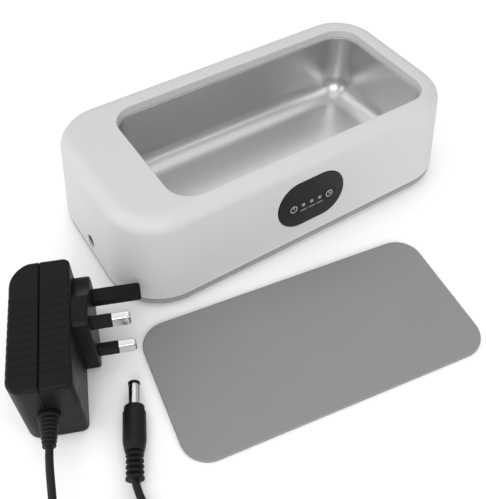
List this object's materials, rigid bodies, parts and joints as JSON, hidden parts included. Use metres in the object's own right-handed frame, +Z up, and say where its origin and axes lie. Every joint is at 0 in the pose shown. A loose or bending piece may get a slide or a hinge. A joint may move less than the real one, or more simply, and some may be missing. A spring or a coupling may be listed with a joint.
{
  "type": "ultrasonic cleaner",
  "caption": "Tabletop ultrasonic cleaner for glasses and jewellery, with an open steel tank, front keys, a loose flat lid and a plug-in mains adaptor on a lead.",
  "frame": {"origin": "centre of the flat underside of the cleaner's base cover, 1.5 mm above the surface that the rubber feet, the lid, the adaptor and the lead rest on", "axes": "+X along the tank, to the right as seen from the control panel; +Y from the control panel to the back; +Z up"},
  "size_m": [0.2948, 0.2441, 0.0565],
  "materials": {
    "white_plastic": "fine matt moulded ABS",
    "grey_plastic": "fine matt moulded ABS",
    "lid_plastic": "satin moulded ABS",
    "panel_black": "satin black polycarbonate",
    "led_lens": "frosted light pipe",
    "black_plastic": "lightly textured black ABS",
    "cord_black": "smooth soft PVC",
    "foot_rubber": "matt rubber",
    "tie_rubber": "matt rubber",
    "wire_rubber": "PVC insulation",
    "silicone": "matt silicone sealant",
    "circuit_board": "solder-masked laminate",
    "component": "moulded epoxy",
    "ceramic": "fired piezo ceramic",
    "steel": "deep-drawn, polished",
    "plated_metal": "nickel plated",
    "copper": "enamelled copper winding",
    "aluminium": "milled"
  },
  "bodies": {
    "housing": {"adaptor_back_shell": "black_plastic", "adaptor_board": "circuit_board", "adaptor_capacitor": "component", "adaptor_front_shell": "black_plastic", "adaptor_strain_relief": "cord_black", "adaptor_transformer": "component", "base_cover": "grey_plastic", "base_screw_front_left": "plated_metal", "base_screw_front_right": "plated_metal", "base_screw_rear_left": "plated_metal", "base_screw_rear_right": "plated_metal", "capacitor": "component", "cord_coil": "cord_black", "cord_from_adaptor": "cord_black", "cord_tie": "tie_rubber", "cord_to_plug": "cord_black", "dc_jack": "component", "dc_jack_pin": "plated_metal", "dc_plug_barrel": "plated_metal", "dc_plug_handle": "cord_black", "dc_plug_tip": "black_plastic", "drive_transistor": "component", "earth_pin": "black_plastic", "foot_front_left": "foot_rubber", "foot_front_right": "foot_rubber", "foot_rear_left": "foot_rubber", "foot_rear_right": "foot_rubber", "heatsink": "aluminium", "inductor": "copper", "key_board": "circuit_board", "key_cable": "wire_rubber", "led_1": "ceramic", "led_2": "ceramic", "led_3": "ceramic", "led_lens_1": "led_lens", "led_lens_2": "led_lens", "led_lens_3": "led_lens", "live_pin": "plated_metal", "live_pin_sleeve": "black_plastic", "main_board": "circuit_board", "neutral_pin": "plated_metal", "neutral_pin_sleeve": "black_plastic", "panel_bezel": "panel_black", "power_switch": "component", "tank": "steel", "tank_seal": "silicone", "timer_switch": "component", "transducer": "ceramic", "transducer_wire_1": "wire_rubber", "transducer_wire_2": "wire_rubber", "upper_shell": "white_plastic"},
    "lid": {"lid": "lid_plastic"},
    "power_button": {"power_button": "panel_black"},
    "timer_button": {"timer_button": "panel_black"}
  },
  "joints": [
    {"name": "lid_lift", "type": "slide", "parent": "housing", "child": "lid", "axis": [0, 0, 1], "range_m": [0, 0.1]},
    {"name": "power_press", "type": "slide", "parent": "housing", "child": "power_button", "axis": [0, 0.9939, -0.1103], "range_m": [0, 0.0005], "stiffness_N_per_m": 2400},
    {"name": "timer_press", "type": "slide", "parent": "housing", "child": "timer_button", "axis": [0, 0.9939, -0.1103], "range_m": [0, 0.0005], "stiffness_N_per_m": 2400}
  ]
}
